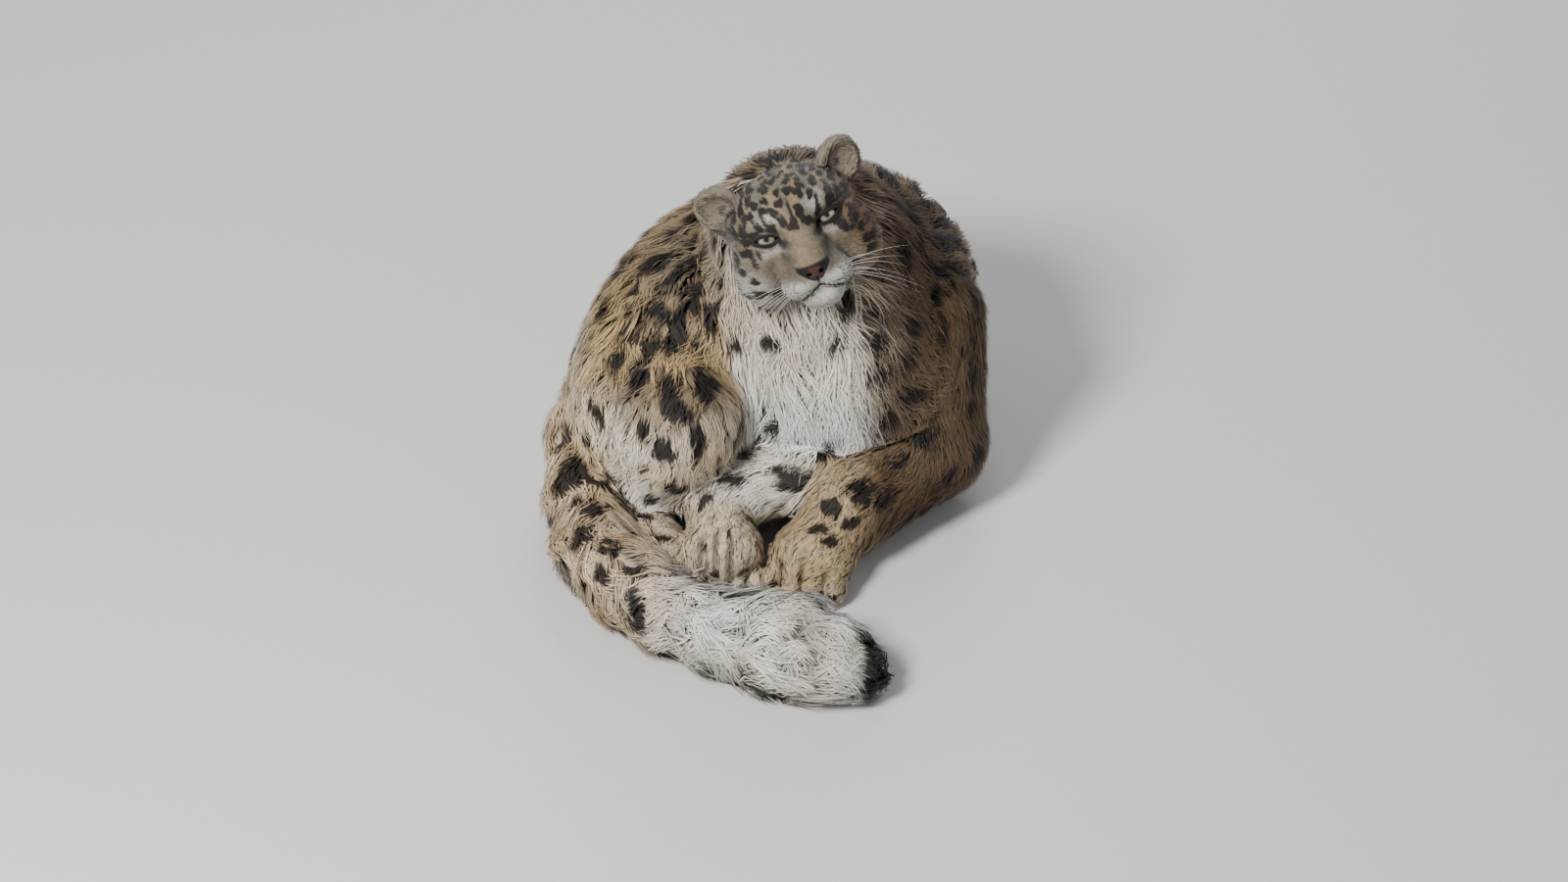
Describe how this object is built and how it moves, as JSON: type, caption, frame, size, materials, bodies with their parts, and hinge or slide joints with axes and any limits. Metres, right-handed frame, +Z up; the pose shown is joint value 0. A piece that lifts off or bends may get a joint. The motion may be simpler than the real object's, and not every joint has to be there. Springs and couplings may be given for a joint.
{
  "type": "snow leopard",
  "caption": "Life-size still model of a snow leopard lying curled, chest and raised head facing forwards, left foreleg stretched out, long furry tail laid round its front.",
  "frame": {"origin": "on the floor, in the middle of the animal's own box", "axes": "+X towards the animal's left side, +Y from its face towards its back, +Z up"},
  "size_m": [0.5234, 0.7352, 0.5027],
  "materials": {
    "coat": "long matte fur, smoky buff with dark rosettes",
    "pale_coat": "long matte fur, cream white with sparse dark spots",
    "eye": "wet gloss, pale grey green",
    "nose": "matte moist skin, brown pink with a dark rim",
    "claw": "smooth horn",
    "whisker": "stiff pale hair"
  },
  "bodies": {
    "root": {"head": "coat", "ear_left": "coat", "ear_right": "coat", "eye_left": "eye", "eye_right": "eye", "neck": "pale_coat", "chest": "pale_coat", "loins": "coat", "rump": "coat", "upper_arm_left": "coat", "forearm_left": "coat", "forepaw_left": "coat", "upper_arm_right": "pale_coat", "forearm_right": "coat", "forepaw_right": "coat", "thigh_right": "coat", "shank_right": "coat", "hindpaw_right": "coat", "thigh_left": "coat", "hindpaw_left": "coat", "tail_root": "coat", "tail_middle": "coat", "tail_end": "pale_coat", "tail_tip": "pale_coat"}
  },
  "joints": []
}
